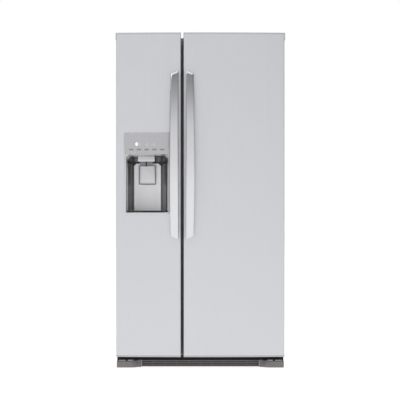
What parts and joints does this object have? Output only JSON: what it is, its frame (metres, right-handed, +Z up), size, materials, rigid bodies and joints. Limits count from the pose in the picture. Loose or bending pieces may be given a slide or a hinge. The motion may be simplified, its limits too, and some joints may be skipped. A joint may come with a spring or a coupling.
{
  "type": "side by side refrigerator",
  "caption": "Side by side refrigerator with a freezer door on the left that carries an ice and water dispenser, bowed bar handles, fitted compartments and a lower grille.",
  "frame": {"origin": "centre of the footprint, on the floor", "axes": "+Z up, doors face -Y, +X to the right when facing the doors"},
  "size_m": [0.844, 0.8536, 1.668],
  "materials": {
    "stainless": "satin",
    "handle_steel": "polished",
    "cabinet_paint": "satin",
    "galvanised_steel": "satin",
    "insulation": "matte",
    "liner_plastic": "satin",
    "door_liner_plastic": "satin",
    "gasket_rubber": "matte",
    "cap_plastic": "satin",
    "plinth_plastic": "satin",
    "dispenser_silver": "satin",
    "panel_silver": "gloss",
    "recess_plastic": "satin",
    "chute_plastic": "gloss",
    "paddle_plastic": "satin",
    "tray_plastic": "matte",
    "key_plastic": "satin",
    "shelf_glass": "gloss",
    "clear_plastic": "gloss",
    "white_plastic": "satin",
    "black_plastic": "matte",
    "black_rubber": "matte",
    "compressor_paint": "gloss",
    "fin_metal": "satin",
    "hinge_steel": "satin",
    "lamp_lens": "satin",
    "ice_maker_plastic": "satin",
    "auger_steel": "polished"
  },
  "bodies": {
    "cabinet": {"cabinet_shell": "cabinet_paint", "foam_insulation": "insulation", "freezer_liner": "liner_plastic", "fridge_liner": "liner_plastic", "mullion_cover": "cabinet_paint", "back_panel": "galvanised_steel", "base_frame": "galvanised_steel", "compressor": "compressor_paint", "condenser": "fin_metal", "rear_cover": "galvanised_steel", "water_valve": "white_plastic", "cord_gland": "black_rubber", "foot_covers": "plinth_plastic", "kick_grille": "plinth_plastic", "door_hinges": "hinge_steel", "hinge_covers": "cap_plastic", "freezer_shelves": "shelf_glass", "fridge_shelves": "shelf_glass", "evaporator": "fin_metal", "air_ducts": "white_plastic", "interior_lamps": "lamp_lens", "ice_maker": "ice_maker_plastic", "ice_bucket": "clear_plastic"},
    "levelling_leg_left": {"levelling_leg_left": "black_plastic"},
    "levelling_leg_right": {"levelling_leg_right": "black_plastic"},
    "rear_rollers": {"rear_rollers": "black_plastic"},
    "condenser_fan": {"condenser_fan": "black_plastic"},
    "evaporator_fan": {"evaporator_fan": "black_plastic"},
    "ice_auger": {"ice_auger": "auger_steel"},
    "water_filter": {"water_filter": "white_plastic"},
    "freezer_drawer": {"freezer_drawer": "clear_plastic"},
    "crisper_lower": {"crisper_lower": "clear_plastic"},
    "crisper_upper": {"crisper_upper": "clear_plastic"},
    "freezer_door": {"freezer_door_skin": "stainless", "freezer_door_foam": "insulation", "freezer_door_liner": "door_liner_plastic", "freezer_door_caps": "cap_plastic", "freezer_gasket": "gasket_rubber", "freezer_handle": "handle_steel", "freezer_door_bins": "clear_plastic", "dispenser_frame": "dispenser_silver", "control_panel": "panel_silver", "dispenser_recess": "recess_plastic", "chute_housing": "chute_plastic", "drip_tray": "tray_plastic"},
    "dispenser_paddle": {"dispenser_paddle": "paddle_plastic"},
    "chute_flap": {"chute_flap": "black_rubber"},
    "fridge_door": {"fridge_door_skin": "stainless", "fridge_door_foam": "insulation", "fridge_door_liner": "door_liner_plastic", "fridge_door_caps": "cap_plastic", "fridge_gasket": "gasket_rubber", "fridge_handle": "handle_steel", "fridge_door_bins": "clear_plastic"},
    "dairy_lid": {"dairy_lid": "clear_plastic"},
    "key_1": {"key_1": "key_plastic"},
    "key_2": {"key_2": "key_plastic"},
    "key_3": {"key_3": "key_plastic"},
    "key_4": {"key_4": "key_plastic"},
    "key_5": {"key_5": "key_plastic"}
  },
  "joints": [
    {"name": "freezer_door_hinge", "type": "hinge", "parent": "cabinet", "child": "freezer_door", "pos_m": [-0.397, -0.30217, 0.834], "axis": [0, 0, -1], "range_deg": [0, 115]},
    {"name": "fridge_door_hinge", "type": "hinge", "parent": "cabinet", "child": "fridge_door", "pos_m": [0.397, -0.30217, 0.834], "axis": [0, 0, 1], "range_deg": [0, 115]},
    {"name": "paddle_press", "type": "hinge", "parent": "freezer_door", "child": "dispenser_paddle", "pos_m": [-0.26675, -0.27046, 1.003], "axis": [1, 0, 0], "range_deg": [0, 9], "stiffness_Nm_per_rad": 1.5},
    {"name": "chute_flap_open", "type": "hinge", "parent": "freezer_door", "child": "chute_flap", "pos_m": [-0.269, -0.29917, 1.098], "axis": [1, 0, 0], "range_deg": [0, 46]},
    {"name": "dairy_lid_open", "type": "hinge", "parent": "fridge_door", "child": "dairy_lid", "pos_m": [0.1535, -0.26916, 1.4535], "axis": [1, 0, 0], "range_deg": [0, 85]},
    {"name": "freezer_drawer_slide", "type": "slide", "parent": "cabinet", "child": "freezer_drawer", "axis": [0, -1, 0], "range_m": [0, 0.055]},
    {"name": "crisper_lower_slide", "type": "slide", "parent": "cabinet", "child": "crisper_lower", "axis": [0, -1, 0], "range_m": [0, 0.045]},
    {"name": "crisper_upper_slide", "type": "slide", "parent": "cabinet", "child": "crisper_upper", "axis": [0, -1, 0], "range_m": [0, 0.045]},
    {"name": "water_filter_twist", "type": "hinge", "parent": "cabinet", "child": "water_filter", "pos_m": [-0.004, -0.07316, 1.57], "axis": [0, 1, 0], "range_deg": [0, 90]},
    {"name": "ice_auger_spin", "type": "hinge", "parent": "cabinet", "child": "ice_auger", "pos_m": [-0.269, -0.20117, 1.228], "axis": [0, 1, 0], "continuous": true},
    {"name": "evaporator_fan_spin", "type": "hinge", "parent": "cabinet", "child": "evaporator_fan", "pos_m": [-0.2435, 0.33683, 1.08], "axis": [0, 1, 0], "continuous": true},
    {"name": "condenser_fan_spin", "type": "hinge", "parent": "cabinet", "child": "condenser_fan", "pos_m": [0.04, 0.29684, 0.149], "axis": [1, 0, 0], "continuous": true},
    {"name": "rear_rollers_spin", "type": "hinge", "parent": "cabinet", "child": "rear_rollers", "pos_m": [0, 0.33683, 0.02], "axis": [1, 0, 0], "continuous": true},
    {"name": "leg_left_height", "type": "slide", "parent": "cabinet", "child": "levelling_leg_left", "axis": [0, 0, 1], "range_m": [-0.008, 0.008]},
    {"name": "leg_right_height", "type": "slide", "parent": "cabinet", "child": "levelling_leg_right", "axis": [0, 0, 1], "range_m": [-0.008, 0.008]},
    {"name": "key_1_press", "type": "slide", "parent": "freezer_door", "child": "key_1", "axis": [0, 1, 0], "range_m": [0, 0.0008], "stiffness_N_per_m": 800},
    {"name": "key_2_press", "type": "slide", "parent": "freezer_door", "child": "key_2", "axis": [0, 1, 0], "range_m": [0, 0.0008], "stiffness_N_per_m": 800},
    {"name": "key_3_press", "type": "slide", "parent": "freezer_door", "child": "key_3", "axis": [0, 1, 0], "range_m": [0, 0.0008], "stiffness_N_per_m": 800},
    {"name": "key_4_press", "type": "slide", "parent": "freezer_door", "child": "key_4", "axis": [0, 1, 0], "range_m": [0, 0.0008], "stiffness_N_per_m": 800},
    {"name": "key_5_press", "type": "slide", "parent": "freezer_door", "child": "key_5", "axis": [0, 1, 0], "range_m": [0, 0.0008], "stiffness_N_per_m": 800}
  ],
  "couplings": [
    {"joint": "chute_flap_open", "follows": "paddle_press", "ratio": 5}
  ]
}
